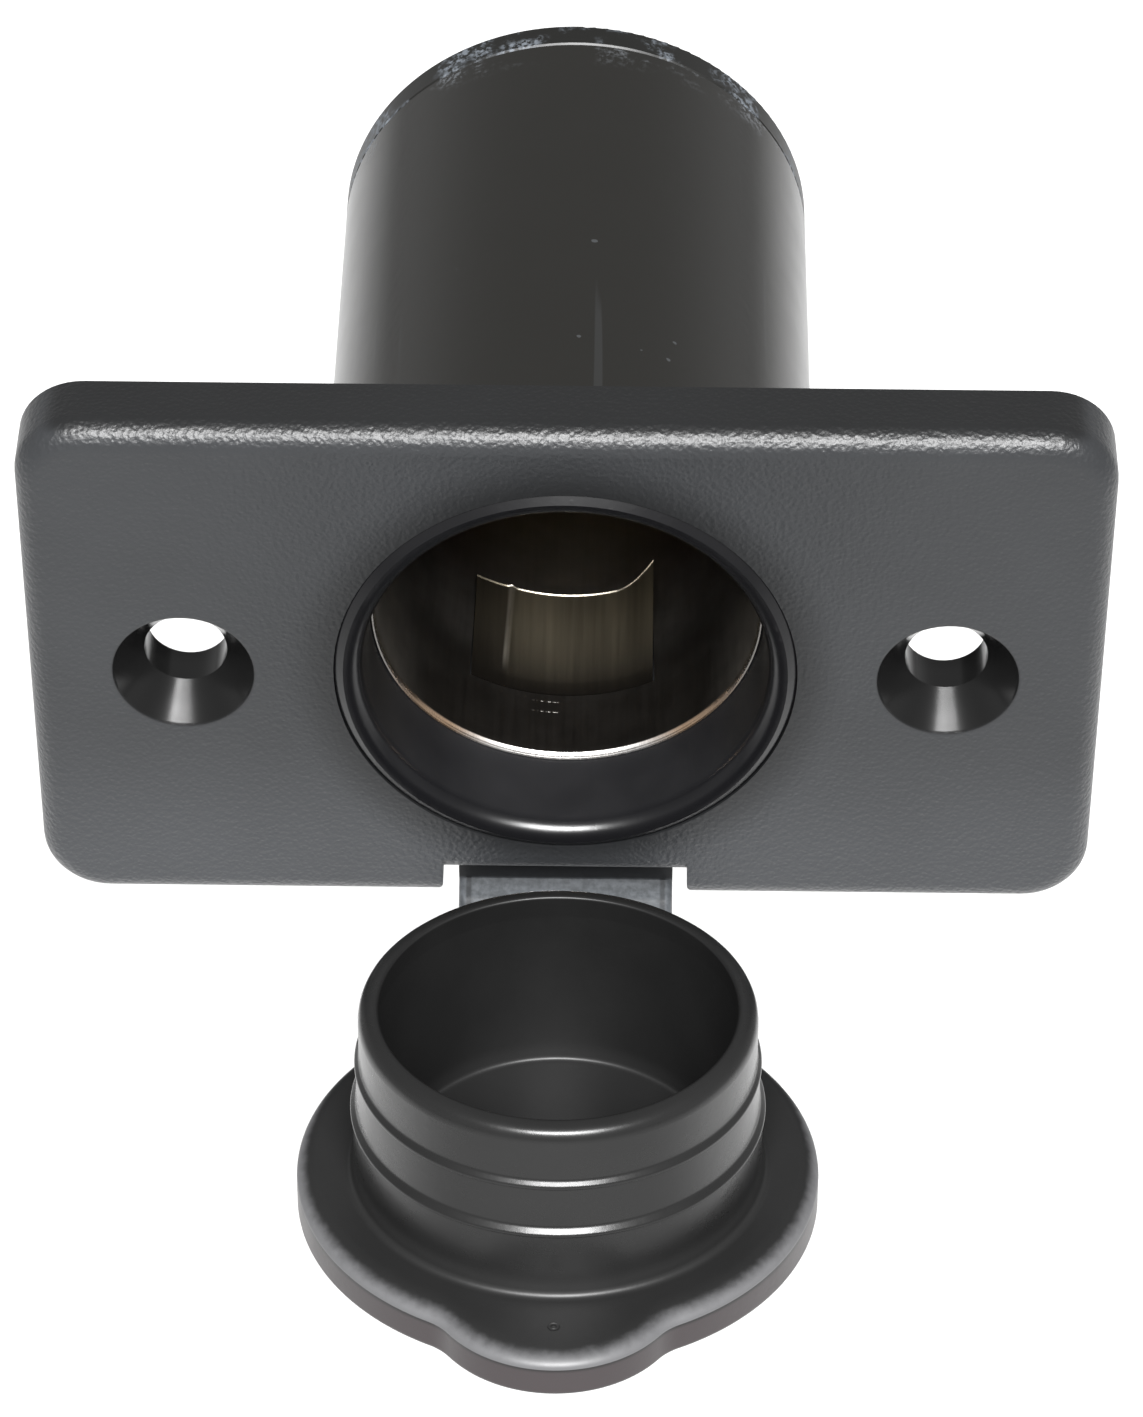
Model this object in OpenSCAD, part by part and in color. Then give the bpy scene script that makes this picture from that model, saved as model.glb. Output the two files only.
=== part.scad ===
// Flush-mounted 12 V power socket for a vehicle, with a plug-in cover cap on a strap.
// Millimetres. X runs to the right, Y runs into the panel, Z runs up.
// The origin is on the socket's axis, in the plane where the face plate meets the panel.
// The cap is shown open: it stands out in front on its strap, cup upwards.

/* [Face plate] */
// Width of the face plate
plate_w = 60.7; // [58:0.1:90]
// Height of the face plate
plate_h = 34.4; // [33:0.1:60]
// Thickness of the face plate
plate_t = 4.5; // [4:0.1:8]
// Corner radius seen from the front
plate_corner_r = 3.8; // [2.5:0.1:10]
// Rounding of the front edges
plate_edge_r = 1.5; // [0.5:0.1:2]
// Distance between the two mounting screws
screw_spacing = 43.1; // [40:0.1:70]
// Clearance hole for a mounting screw
screw_hole_d = 4.7; // [3.5:0.1:5.2]
// Outer diameter of the countersink
countersink_d = 8; // [6:0.1:9]
// Depth of the countersink
countersink_depth = 2.15; // [1:0.05:3]
// Room between the strap and each side of its notch
notch_gap = 0.8; // [0.4:0.1:2]
// Depth of the notch, from the plate's lower edge
notch_depth = 1.8; // [1:0.1:2]
// Radius of the notch's outer corners
notch_corner_r = 1.2; // [0.4:0.1:1.5]

/* [Socket liner] */
// Wall of the liner's tube
liner_wall = 1; // [0.8:0.05:1.2]
// How much wider the liner's bore is at its mouth, each side, so that it leaves its mould
liner_draft = 0.2; // [0.1:0.02:0.3]
// Width of the lip round the liner's mouth
lip_w = 1.58; // [1.4:0.02:2.4]
// How far the lip stands proud of the face plate
lip_rise = 0.2; // [0:0.05:1]
// How deep the lip is let into the face plate
lip_seat = 1.6; // [1:0.05:2.2]
// Rounding of the lip where it turns into the bore
lip_round_r = 1.2; // [0.6:0.05:1.3]

/* [Contacts] */
// Bore of the contact sleeve where it grips a plug
receptacle_d = 21; // [20.9:0.01:21.1]
// How much wider the belled front of the sleeve is, each side
bell_flare = 0.45; // [0.4:0.01:0.5]
// Sheet thickness of the contact sleeve
sleeve_wall = 0.25; // [0.2:0.01:0.27]
// Depth of the sleeve's front edge behind the face of the plate
sleeve_depth = 5.5; // [5:0.1:6]
// Length of the belled front, as far as the cap's plug reaches
bell_l = 4.9; // [4.9:0.1:5.4]
// Length over which the bell narrows to the gripping bore
taper_l = 10.1; // [9.6:0.1:12]
// Length of the contact sleeve over all
sleeve_l = 32.3; // [31:0.1:33]
// Angle round the bore that the side spring covers
spring_angle = 60; // [40:1:62]
// Gap between the side spring and the edges of its opening, as an angle
window_margin = 2; // [1.5:0.5:6]
// Length of the side spring's root, which lies in line with the sleeve
spring_root_l = 1; // [0.6:0.1:2]
// Length of the side spring's free leaf
spring_leaf_l = 7; // [5:0.1:7.2]
// How far the side spring's tip stands into the bore
spring_lift = 0.6; // [0.3:0.05:0.8]
// Diameter of the centre contact
centre_contact_d = 9; // [7:0.1:12]
// Diameter of the centre rivet
rivet_d = 3; // [2.5:0.1:3.6]
// Width of the blade terminals
blade_w = 6.3; // [4.8:0.1:6.3]
// Thickness of the blade terminals
blade_t = 0.8; // [0.5:0.1:1]
// How far the blade terminals stand out of the end cap
blade_reach = 8.4; // [6:0.1:9]

/* [Rear cover] */
// Wall of the rear barrel
barrel_wall = 1.9; // [1.2:0.05:2.3]
// Room behind the sleeve for the feet of the terminals
rear_room = 4.2; // [3.9:0.1:12]
// Thickness of the end cap's visible band
end_cap_t = 2.05; // [1.5:0.05:3]
// Length of the end cap's spigot inside the barrel
spigot_l = 1.2; // [0.8:0.1:1.4]
// Wall of the end cap's spigot
spigot_wall = 1.4; // [1:0.1:2]

/* [Cover cap] */
// How far the cap's flange reaches past the lip
flange_lap = 1.1; // [0.8:0.05:2]
// Thickness of the cap's flange
flange_t = 2.5; // [2.2:0.1:3.5]
// Rounding of the flange's inner edge
flange_round_r = 0.7; // [0.3:0.05:1]
// Rounding of the flange's outer edge
flange_rim_r = 0.3; // [0.2:0.05:0.5]
// Height of the plug above the flange
plug_h = 10.35; // [9:0.05:10.4]
// Height of the plug's rear ridge, which seats in the liner
rear_ridge_h = 4.05; // [3:0.05:4.6]
// Height of the plug's front ridge, which seats in the bell
front_ridge_h = 7.05; // [6:0.05:8]
// How far each ridge stands out over the groove below it
ridge_rise = 0.13; // [0.05:0.01:0.2]
// Radial gap between the front ridge and the bell
front_ridge_gap = 0.06; // [0.04:0.01:0.2]
// Radial gap between the rear ridge and the liner
rear_ridge_gap = 0.09; // [0.05:0.01:0.3]
// Radial gap between the plug's mouth and the bell
plug_mouth_gap = 0.3; // [0.25:0.01:0.5]
// Wall of the plug at its mouth, which is fully rounded
plug_wall = 1.1; // [0.8:0.05:1.6]
// Draft of the plug's inner wall, from its mouth to its floor
plug_draft = 0.85; // [0.4:0.05:1.5]
// Height of the plug's floor above the flange's inner face
plug_floor_h = 0.1; // [0:0.1:2]
// Fillet between the plug's inner wall and its floor
plug_floor_fillet_r = 0.5; // [0.3:0.1:2]
// Fillet at the plug's foot
plug_fillet_r = 1.1; // [0.3:0.1:1.1]
// Radius of the thumb tab's end
tab_r = 6.9; // [5:0.1:8]
// How far the thumb tab reaches past the flange
tab_reach = 2.05; // [1.5:0.05:3]
// Radius of the hollow curves between the thumb tab and the flange
tab_fillet_r = 5; // [5:0.1:8]
// Angle to which the cap stands open, measured from closed
cap_open_deg = 83.66; // [60:0.5:120]

/* [Strap] */
// Width of the strap
strap_w = 12.6; // [8:0.1:13]
// Thickness of the strap and of its ring
strap_t = 1; // [0.8:0.05:1.1]
// Width of the ring that is clamped behind the face plate
ring_w = 2.55; // [2.4:0.05:2.75]
// Thickness left at the living hinges
hinge_web_t = 0.45; // [0.3:0.05:0.6]
// Height of the crease below the plate's lower edge
crease_drop = 1.6; // [1:0.1:3]
// How deep the strap sags between its two ends
strap_sag = 5.5; // [2:0.1:8]

/* [Fits] */
// Radial gap between pieces that slide into each other
slip_gap = 0.05; // [0.02:0.01:0.1]
// Gap round pieces that are let into another
seat_gap = 0.05; // [0.02:0.01:0.1]
// Gap round the liner and the strap where they pass through the plate
pass_gap = 0.1; // [0.05:0.05:0.2]

/* [Hidden] */
$fn = 96;
eps = 0.01;

// Radii from the bore outwards, each from the one inside it
grip_r = receptacle_d / 2;
bell_r = grip_r + bell_flare;
liner_r = bell_r + sleeve_wall + seat_gap;
liner_mouth_r = liner_r + liner_draft;
liner_outer_r = liner_r + liner_wall;
lip_r = liner_mouth_r + lip_w;
barrel_bore_r = liner_outer_r + pass_gap;
barrel_r = barrel_bore_r + barrel_wall;
ring_r = barrel_bore_r + ring_w;
flange_r = lip_r + flange_lap;

face_y = -plate_t;
lip_y = face_y - lip_rise;
// The lip slopes back to its outer edge, which lies just behind the plate's face
lip_slope_w = 0.5;
lip_edge_y = face_y + 0.12;

sleeve_front_y = face_y + sleeve_depth;
bell_end_y = sleeve_front_y + bell_l;
grip_y = bell_end_y + taper_l;
sleeve_back_y = sleeve_front_y + sleeve_l;

// The side spring lies in an opening of the sleeve, behind the reach of the cap's plug
window_gap = 0.1;
spring_y = bell_end_y + 0.6;
spring_bend_y = spring_y + spring_root_l;
spring_tip_y = spring_bend_y + spring_leaf_l;
spring_tip_r = grip_r - spring_lift;
window_end_y = spring_tip_y + 0.7;
// A narrower neck at the rear seats the insulating washer
neck_in = 0.5;
neck_r = grip_r - neck_in;
neck_l = 4;
neck_y = sleeve_back_y - neck_l;

insulator_t = 1.4;
insulator_r = neck_r - slip_gap;
insulator_y = sleeve_back_y - sleeve_wall - insulator_t;
contact_t = 1;
sleeve_hole_r = 4;
outer_insulator_r = 6.2;
outer_insulator_t = 1;
boss_r = sleeve_hole_r - slip_gap;
terminal_y = sleeve_back_y + outer_insulator_t;
rivet_r = rivet_d / 2;
rivet_hole_r = rivet_r + slip_gap;
rivet_head_r = rivet_r + 1.1;
rivet_head_t = 0.7;

cap_y = sleeve_back_y + rear_room;
end_y = cap_y + end_cap_t;
seam_depth = 0.12;
end_round_r = 0.3;
blade_end_y = end_y + blade_reach;
// Height of each blade above or below the axis
positive_z = 5.2;
negative_z = -9;
negative_rivet_z = -5.6;
negative_rivet_r = 1;

notch_w = strap_w + 2 * notch_gap;
notch_z = -plate_h / 2 + notch_depth;
crease_z = -plate_h / 2 - crease_drop;

// The hinge line lies at the flange's edge, halfway through its thickness
hinge_lug = 0.62;
hinge_r = flange_r + hinge_lug;
hinge_h = -flange_t / 2;
// Swung closed about this line, the plug stands in front of the lip, ready to go in
hinge_y = lip_y - seat_gap - plug_h + hinge_h;
hinge_z = -hinge_r;

// A profile of radius and depth, turned about the socket's axis
module turned(angle = 360, start = 0) {
    rotate([-90, 0, 0])
        rotate([0, 0, start])
            rotate_extrude(angle = angle)
                children();
}

// A round bar or hole along Y
module bar(r, y, l, x = 0, z = 0) {
    translate([x, y, z])
        rotate([-90, 0, 0])
            cylinder(h = l, r = r);
}

// An outline in X and Z, made solid from y to y + l
module slab(y, l) {
    translate([0, y + l, 0])
        rotate([90, 0, 0])
            linear_extrude(height = l)
                children();
}

// An outline in Y and Z, made solid over a width w about the middle plane
module across(w) {
    translate([-w / 2, 0, 0])
        rotate([90, 0, 90])
            linear_extrude(height = w)
                children();
}

// A rectangle in profile, from (x0, y0) to (x1, y1)
module area(x0, y0, x1, y1) {
    translate([x0, y0])
        square([x1 - x0, y1 - y0]);
}

// What a rounding of radius r takes off a corner at (x, y); sx and sy point into the material
module corner_cut(x, y, r, sx, sy) {
    difference() {
        translate([x + (sx < 0 ? -r : -eps), y + (sy < 0 ? -r : -eps)])
            square(r + eps);
        translate([x + sx * r, y + sy * r])
            circle(r = r);
    }
}

// The plate's block, its front edge rounded all the way round: a middle, two sides, four corners
module plate_block() {
    e = plate_edge_r;
    x = plate_w / 2;
    z = plate_h / 2;
    cx = x - plate_corner_r;
    cz = z - plate_corner_r;
    across(2 * cx)
        difference() {
            area(face_y, -z, 0, z);
            corner_cut(face_y, -z, e, 1, 1);
            corner_cut(face_y, z, e, 1, -1);
        }
    for (s = [-1, 1])
        translate([0, 0, -cz])
            linear_extrude(height = 2 * cz)
                difference() {
                    area(min(s * cx, s * x), face_y, max(s * cx, s * x), 0);
                    corner_cut(s * x, face_y, e, -s, 1);
                }
    for (i = [0 : 3])
        translate([i == 0 || i == 3 ? cx : -cx, 0, i < 2 ? -cz : cz])
            turned(90, 90 * i)
                difference() {
                    area(0, face_y, plate_corner_r, 0);
                    corner_cut(plate_corner_r, face_y, e, -1, 1);
                }
}

// The notch, seen from the front, with its outer corners rounded
module notch_outline() {
    z = -plate_h / 2;
    r = notch_corner_r;
    area(-notch_w / 2, z - 1, notch_w / 2, notch_z);
    for (s = [-1, 1])
        difference() {
            translate([s * notch_w / 2 - (s < 0 ? r : 0), z - eps])
                square([r, r + eps]);
            translate([s * (notch_w / 2 + r), z + r])
                circle(r = r);
        }
}

module face_plate() {
    color([0.16, 0.16, 0.17])
    difference() {
        plate_block();
        bar(barrel_bore_r, face_y - 1, plate_t + 2);
        bar(lip_r + seat_gap, face_y - 1, 1 + lip_seat + seat_gap);
        for (s = [-1, 1]) {
            bar(screw_hole_d / 2, face_y - 1, plate_t + 2, s * screw_spacing / 2);
            translate([s * screw_spacing / 2, face_y, 0])
                rotate([-90, 0, 0])
                    cylinder(h = countersink_depth, r1 = countersink_d / 2, r2 = screw_hole_d / 2);
        }
        slab(face_y - 1, plate_t + 2)
            notch_outline();
        // The notch's front edge is rounded like the plate's own
        across(notch_w)
            corner_cut(face_y, notch_z, plate_edge_r, 1, 1);
        // Recess behind the plate for the ring, and a channel for the strap
        bar(ring_r + pass_gap, -strap_t, strap_t + 1);
        slab(-strap_t, strap_t + 1)
            area(-strap_w / 2 - pass_gap, -plate_h / 2 - 1, strap_w / 2 + pass_gap, 0);
    }
}

module socket_liner() {
    draft_y = lip_y + lip_round_r;
    color([0.11, 0.11, 0.12])
    turned()
        difference() {
            polygon([
                [liner_mouth_r, lip_y], [lip_r - lip_slope_w, lip_y], [lip_r, lip_edge_y],
                [lip_r, face_y + lip_seat], [liner_outer_r, face_y + lip_seat],
                [liner_outer_r, sleeve_back_y - seat_gap], [liner_r, sleeve_back_y - seat_gap],
                [liner_r, sleeve_front_y - seat_gap], [liner_mouth_r, draft_y]
            ]);
            corner_cut(liner_mouth_r, lip_y, lip_round_r, 1, 1);
        }
}

// Inner radius of the sleeve's belled front and of its taper, at depth y
function sleeve_r(y) = bell_r - bell_flare * max(0, y - bell_end_y) / taper_l;

module sleeve_profile() {
    t = sleeve_wall;
    y0 = sleeve_front_y;
    end = sleeve_back_y;
    polygon([
        [bell_r + t * 0.9, y0], [bell_r + t, y0 + 0.03], [bell_r + t, bell_end_y], [grip_r + t, grip_y],
        [grip_r + t, neck_y], [neck_r + t, neck_y + neck_in], [neck_r + t, end], [sleeve_hole_r, end],
        [sleeve_hole_r, end - t], [neck_r, end - t], [neck_r, neck_y + neck_in], [grip_r, neck_y],
        [grip_r, grip_y], [bell_r, bell_end_y],
        // The mouth is coined to a rounded edge
        [bell_r, y0 + 0.8], [bell_r + t * 0.1, y0 + 0.4], [bell_r + t * 0.32, y0 + 0.17], [bell_r + t * 0.6, y0 + 0.05]
    ]);
}

module contact_sleeve() {
    window_angle = spring_angle + 2 * window_margin;
    color([0.72, 0.66, 0.6])
    difference() {
        turned()
            sleeve_profile();
        // Opening that the side spring lies in and flexes through
        turned(window_angle, 90 - window_angle / 2)
            area(grip_r - 1, spring_y - window_gap, bell_r + 1, window_end_y);
        bar(negative_rivet_r + slip_gap, sleeve_back_y - 1, 2, 0, negative_rivet_z);
    }
}

module side_spring() {
    t = sleeve_wall;
    color([0.5, 0.42, 0.3])
    turned(spring_angle, 90 - spring_angle / 2)
        polygon([
            [sleeve_r(spring_y) + t, spring_y], [sleeve_r(spring_bend_y) + t, spring_bend_y],
            [spring_tip_r + t, spring_tip_y], [spring_tip_r, spring_tip_y],
            [sleeve_r(spring_bend_y), spring_bend_y], [sleeve_r(spring_y), spring_y]
        ]);
}

module inner_insulator() {
    color([0.45, 0.3, 0.2])
    difference() {
        bar(insulator_r, insulator_y, insulator_t);
        bar(rivet_hole_r, insulator_y - 1, insulator_t + 2);
    }
}

// A stepped washer: its boss fills the hole in the sleeve's floor
module outer_insulator() {
    color([0.45, 0.3, 0.2])
    difference() {
        union() {
            bar(boss_r, sleeve_back_y - sleeve_wall, sleeve_wall + outer_insulator_t);
            bar(outer_insulator_r, sleeve_back_y, outer_insulator_t);
        }
        bar(rivet_hole_r, sleeve_back_y - 1, outer_insulator_t + 2);
        // Flat that leaves room for the negative rivet's head
        slab(sleeve_back_y - eps, outer_insulator_t + 1)
            area(-outer_insulator_r, -outer_insulator_r - 1, outer_insulator_r, negative_rivet_z + 2);
    }
}

// A dished disc: a cone that leads the plug's tip to a flat seat
module centre_contact() {
    color([0.78, 0.63, 0.36])
    turned()
        difference() {
            area(rivet_hole_r, insulator_y - contact_t, centre_contact_d / 2, insulator_y);
            polygon([
                [0, insulator_y - contact_t - eps], [centre_contact_d / 2 - 0.6, insulator_y - contact_t - eps],
                [centre_contact_d / 2 - 1.1, insulator_y - contact_t / 2], [0, insulator_y - contact_t / 2]
            ]);
        }
}

module centre_rivet() {
    color([0.7, 0.68, 0.64])
    turned() {
        area(0, insulator_y - contact_t / 2, rivet_r, terminal_y + blade_t + rivet_head_t);
        area(0, insulator_y - contact_t / 2 - rivet_head_t, rivet_head_r, insulator_y - contact_t / 2);
        area(0, terminal_y + blade_t, rivet_head_r, terminal_y + blade_t + rivet_head_t);
    }
}

// A blade terminal: a foot against the sleeve's rear and a blade that leaves through the end cap
module terminal(foot_y, foot_z, foot_r, hole_r, blade_z) {
    up = sign(blade_z - foot_z);
    far_z = blade_z + up * blade_t / 2;
    difference() {
        union() {
            bar(foot_r, foot_y, blade_t, 0, foot_z);
            slab(foot_y, blade_t)
                area(-blade_w / 2, min(foot_z, far_z), blade_w / 2, max(foot_z, far_z));
            translate([-blade_w / 2, foot_y, blade_z - blade_t / 2])
                cube([blade_w, blade_end_y - foot_y - 1, blade_t]);
            // The blade's lead-in
            translate([0, 0, blade_z - blade_t / 2])
                linear_extrude(height = blade_t)
                    polygon([
                        [-blade_w / 2, blade_end_y - 1], [blade_w / 2, blade_end_y - 1],
                        [blade_w / 2 - 1, blade_end_y], [-blade_w / 2 + 1, blade_end_y]
                    ]);
        }
        bar(hole_r, foot_y - 1, blade_t + 2, 0, foot_z);
        // The locking hole near the end of the blade
        translate([0, blade_end_y - 3.6, blade_z - blade_t])
            cylinder(h = 2 * blade_t, r = 0.85);
    }
}

module positive_terminal() {
    color([0.78, 0.63, 0.36])
    terminal(terminal_y, 0, rivet_head_r + 0.6, rivet_hole_r, positive_z);
}

module negative_terminal() {
    color([0.72, 0.7, 0.66])
    terminal(sleeve_back_y, negative_rivet_z, negative_rivet_r + 1, negative_rivet_r + slip_gap, negative_z);
}

module negative_rivet() {
    color([0.7, 0.68, 0.64])
    translate([0, 0, negative_rivet_z])
        turned() {
            area(0, sleeve_back_y - sleeve_wall, negative_rivet_r, sleeve_back_y + blade_t);
            area(0, sleeve_back_y + blade_t, negative_rivet_r + 0.8, sleeve_back_y + blade_t + 0.5);
        }
}

module rear_barrel() {
    color([0.13, 0.13, 0.14])
    turned()
        difference() {
            area(barrel_bore_r, 0, barrel_r, cap_y);
            seam_cut();
        }
}

// A shallow groove marks the seam between the barrel and its end cap
module seam_cut() {
    polygon([
        [barrel_r - seam_depth, cap_y],
        [barrel_r + 1, cap_y - 1 - seam_depth], [barrel_r + 1, cap_y + 1 + seam_depth]
    ]);
}

module end_cap() {
    slot_w = blade_w + 0.3;
    slot_t = blade_t + 0.3;
    spigot_r = barrel_bore_r - slip_gap;
    color([0.13, 0.13, 0.14])
    difference() {
        union() {
            turned()
                difference() {
                    area(0, cap_y, barrel_r, end_y);
                    seam_cut();
                    corner_cut(barrel_r, end_y, end_round_r, -1, -1);
                }
            // The spigot is rooted halfway through the disc
            turned()
                area(spigot_r - spigot_wall, cap_y - spigot_l, spigot_r, cap_y + end_cap_t / 2);
        }
        for (z = [positive_z, negative_z])
            translate([-slot_w / 2, cap_y - 1, z - slot_t / 2])
                cube([slot_w, end_cap_t + 2, slot_t]);
    }
}

module strap_ring() {
    color([0.12, 0.12, 0.13])
    difference() {
        union() {
            bar(ring_r, -strap_t, strap_t);
            slab(-strap_t, strap_t)
                area(-strap_w / 2, crease_z, strap_w / 2, 0);
        }
        bar(barrel_bore_r, -strap_t - 1, strap_t + 2);
    }
}

// Middle line of the sagging strap, as a cubic curve from the crease to the cap's hinge
function strap_point(t) =
    let (
        a = [-strap_t / 2, crease_z],
        d = [hinge_y, hinge_z],
        span = d[0] - a[0],
        b = [a[0] + span * 0.25, a[1] - strap_sag * 0.7],
        c = [a[0] + span * 0.7, a[1] - strap_sag * 0.45],
        u = 1 - t
    )
    u * u * u * a + 3 * u * u * t * b + 3 * u * t * t * c + t * t * t * d;

function strap_normal(t) =
    let (
        step = 0.01,
        v = strap_point(min(1, t + step)) - strap_point(max(0, t - step))
    )
    [-v[1], v[0]] / norm(v);

// The strap is full in the middle and thins to the webs that flex
function strap_half_t(t) =
    let (
        thin_l = 0.1,
        from_end = min(t, 1 - t)
    )
    (hinge_web_t + (strap_t - hinge_web_t) * min(1, from_end / thin_l)) / 2;

strap_steps = 20;

module cap_strap() {
    ts = [for (i = [0 : strap_steps]) i / strap_steps];
    upper = [for (t = ts) strap_point(t) + strap_normal(t) * strap_half_t(t)];
    lower = [for (i = [strap_steps : -1 : 0]) strap_point(ts[i]) - strap_normal(ts[i]) * strap_half_t(ts[i])];
    color([0.14, 0.14, 0.15])
    across(strap_w)
        difference() {
            polygon(concat(upper, lower));
            // It starts just below the strap's fixed stretch and ends at the cap's hinge line
            area(-strap_t - 1, crease_z - seat_gap, 1, crease_z + 3);
            translate([hinge_y, hinge_z])
                rotate(cap_open_deg)
                    area(-3, 0, 3, 3);
        }
}

// The plug's outer and inner outline, as radius and height above the flange
module plug_profile() {
    front_r = bell_r - front_ridge_gap;
    rear_r = liner_r - rear_ridge_gap;
    mouth_r = bell_r - plug_mouth_gap;
    foot_r = rear_r - ridge_rise;
    inner_r = mouth_r - plug_wall;
    floor_r = inner_r - plug_draft;
    mouth_round_r = plug_wall / 2 - 0.02;
    flare_l = 0.65;
    difference() {
        union() {
            polygon([
                [0, -flange_t / 2], [foot_r, -flange_t / 2], [foot_r, rear_ridge_h - 0.15],
                [rear_r, rear_ridge_h - 0.06], [rear_r, rear_ridge_h + 0.06], [front_r - 0.03, rear_ridge_h + flare_l],
                [front_r - ridge_rise, front_ridge_h - 0.15],
                [front_r, front_ridge_h - 0.06], [front_r, front_ridge_h + 0.06],
                [mouth_r, front_ridge_h + flare_l], [mouth_r, plug_h], [0, plug_h]
            ]);
            // Fillet at the foot of the plug
            difference() {
                area(foot_r - 0.1, 0, foot_r + plug_fillet_r, plug_fillet_r);
                translate([foot_r + plug_fillet_r, plug_fillet_r])
                    circle(r = plug_fillet_r);
            }
        }
        corner_cut(mouth_r, plug_h, mouth_round_r, -1, -1);
        // The hollow, wider at its rounded mouth, with a fillet at its floor
        difference() {
            polygon([
                [0, plug_floor_h], [floor_r, plug_floor_h], [inner_r, plug_h - 1],
                [inner_r, plug_h + eps], [0, plug_h + eps]
            ]);
            difference() {
                area(floor_r - plug_floor_fillet_r, plug_floor_h - eps, inner_r, plug_floor_h + plug_floor_fillet_r);
                translate([floor_r - plug_floor_fillet_r, plug_floor_h + plug_floor_fillet_r])
                    circle(r = plug_floor_fillet_r);
            }
        }
        corner_cut(inner_r, plug_h, mouth_round_r, 1, -1);
    }
}

// Section of the flange's side, from its outline at radius r over a length l: towards the
// centre where s is -1, and away from it where s is 1
module flange_section(r, s, l) {
    difference() {
        area(min(r, r + s * l), -flange_t, max(r, r + s * l), 0);
        corner_cut(r, 0, flange_round_r, s, -1);
        corner_cut(r, -flange_t, flange_rim_r, s, 1);
    }
}

module flange_disc(r) {
    turned()
        flange_section(r, -1, r);
}

// The flange with its thumb tab: two discs, and on each side a web with a hollow curve
module flange() {
    tab_z = flange_r + tab_reach - tab_r;
    a = flange_r + tab_fillet_r;
    b = tab_r + tab_fillet_r;
    web_z = (tab_z * tab_z + a * a - b * b) / (2 * tab_z);
    web_x = sqrt(a * a - web_z * web_z);
    flange_disc(flange_r);
    translate([0, 0, tab_z])
        flange_disc(tab_r);
    for (s = [-1, 1])
        difference() {
            slab(-flange_t, flange_t)
                polygon([[0, 0], [s * web_x, web_z], [0, tab_z]]);
            translate([s * web_x, 0, web_z])
                turned()
                    difference() {
                        area(0, -flange_t - 1, tab_fillet_r + 2, 1);
                        flange_section(tab_fillet_r, 1, 3);
                    }
        }
}

// The cap as it sits when closed, with its flange's inner face at y = 0
module cap_closed() {
    flange();
    turned()
        plug_profile();
    // The strap's root at the flange, thinned to the web of its living hinge
    slab(hinge_h - hinge_web_t / 2, hinge_web_t)
        area(-strap_w / 2, -hinge_r + slip_gap, strap_w / 2, -flange_r / 2);
    slab(hinge_h - strap_t / 2, strap_t)
        area(-strap_w / 2, -flange_r, strap_w / 2, -flange_r / 2);
}

module plug_cap() {
    color([0.12, 0.12, 0.13])
    translate([0, hinge_y, hinge_z])
        rotate([cap_open_deg, 0, 0])
            translate([0, -hinge_h, hinge_r])
                cap_closed();
}

face_plate();
socket_liner();
contact_sleeve();
side_spring();
inner_insulator();
outer_insulator();
centre_contact();
centre_rivet();
positive_terminal();
negative_terminal();
negative_rivet();
rear_barrel();
end_cap();
strap_ring();
cap_strap();
plug_cap();
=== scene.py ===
# %% [markdown]
# # A 12 V accessory socket, dressed for its picture
#
# The solids of this socket come from a CAD model: plate, liner, contact sleeve, barrel and cap.
# This file adds what CAD solids lack. It gives every surface a worked-out finish, bends the soft
# strap as a mesh of its own, folds the contact leaf, and sets up the floor, the light and the
# camera. It starts by loading the solids, which stay exactly where they are.

# %% Load the solids
import math

import bpy
import numpy as np
from mathutils import Matrix


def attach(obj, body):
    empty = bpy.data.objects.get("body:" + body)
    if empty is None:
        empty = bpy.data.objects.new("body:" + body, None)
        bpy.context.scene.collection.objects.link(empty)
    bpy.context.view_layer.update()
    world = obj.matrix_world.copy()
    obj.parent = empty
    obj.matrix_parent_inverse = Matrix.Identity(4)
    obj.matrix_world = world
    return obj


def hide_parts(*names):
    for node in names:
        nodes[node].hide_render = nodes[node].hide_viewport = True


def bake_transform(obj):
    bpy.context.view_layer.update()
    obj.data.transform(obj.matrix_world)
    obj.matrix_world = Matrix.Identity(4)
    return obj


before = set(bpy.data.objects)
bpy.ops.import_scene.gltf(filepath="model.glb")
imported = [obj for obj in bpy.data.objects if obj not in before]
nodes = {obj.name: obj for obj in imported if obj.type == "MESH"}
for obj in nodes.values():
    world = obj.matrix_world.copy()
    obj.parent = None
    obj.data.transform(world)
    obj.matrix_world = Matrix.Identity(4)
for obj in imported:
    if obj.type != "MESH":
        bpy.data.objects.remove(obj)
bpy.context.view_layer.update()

MM = 0.001

# %% [markdown]
# ## The camera
#
# The picture looks down on the socket from the front, about 41 degrees above the bore's axis,
# from some 32 cm away. A long lens would flatten the barrel behind the plate. The distance and
# the lens below keep the same taper, so the plate's upper edge is wider than its lower edge.
# A camera looks along its own -Z, so its matrix is built from its right, up and back directions.

# %% Set up the camera
TURN, RISE, ROLL = (math.radians(a) for a in (0.692, 41.122, 0.171))
DISTANCE = 317.3 * MM
TARGET = np.array([0.299, 0.0, -6.322]) * MM

back = np.array([math.sin(TURN) * math.cos(RISE), -math.cos(TURN) * math.cos(RISE), math.sin(RISE)])
level_right = np.cross(-back, [0.0, 0.0, 1.0])
level_right /= np.linalg.norm(level_right)
level_up = np.cross(level_right, -back)
right = math.cos(ROLL) * level_right + math.sin(ROLL) * level_up
up = -math.sin(ROLL) * level_right + math.cos(ROLL) * level_up

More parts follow.
